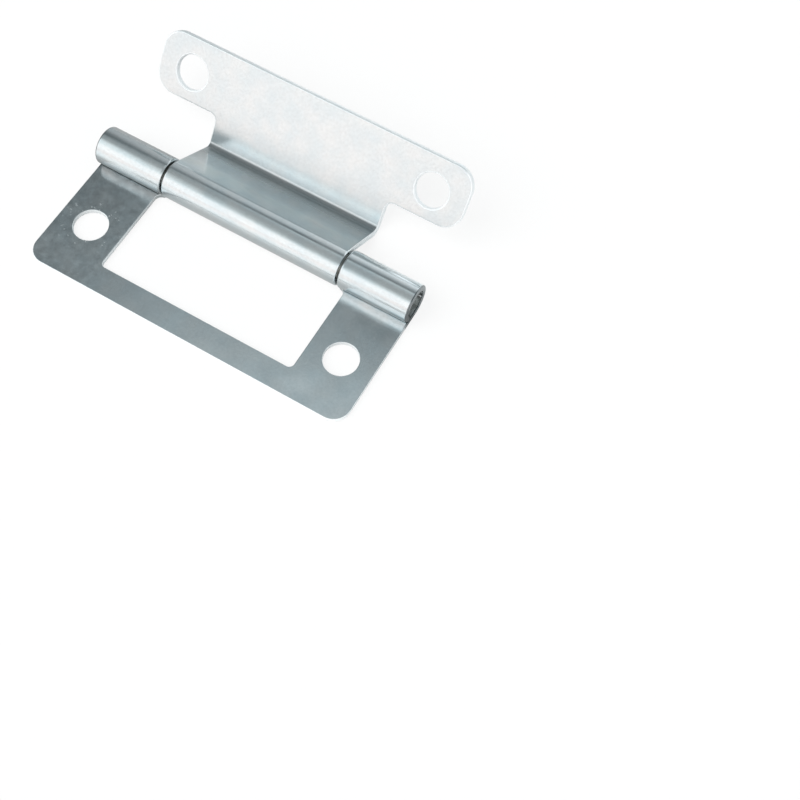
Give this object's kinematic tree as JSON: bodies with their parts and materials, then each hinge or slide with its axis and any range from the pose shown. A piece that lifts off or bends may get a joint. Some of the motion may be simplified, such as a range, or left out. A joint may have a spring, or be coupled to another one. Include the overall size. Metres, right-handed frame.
{
  "type": "folding door hinge",
  "caption": "Cranked flush hinge for a folding door: a flat leaf with a window, pinned to a T leaf whose web cranks up into a screw flange.",
  "frame": {"origin": "midway between the frame leaf's two screw holes, on the leaf's flat back face", "axes": "+X along the pin, +Y from the screw holes towards the barrel, +Z out of the leaf's front, on the side of the barrel"},
  "size_m": [0.06, 0.0442, 0.0134],
  "materials": {
    "leaf_plating": "bright zinc plated, clear passivated steel strip",
    "pin_steel": "drawn steel wire, bright"
  },
  "bodies": {
    "frame": {"frame_leaf": "leaf_plating", "hinge_pin": "pin_steel"},
    "tee": {"tee_leaf": "leaf_plating"}
  },
  "joints": [
    {"name": "pin_turn", "type": "hinge", "parent": "frame", "child": "tee", "pos_m": [0, 0.0134, 0.0033], "axis": [1, 0, 0], "range_deg": [-170, 158]}
  ]
}
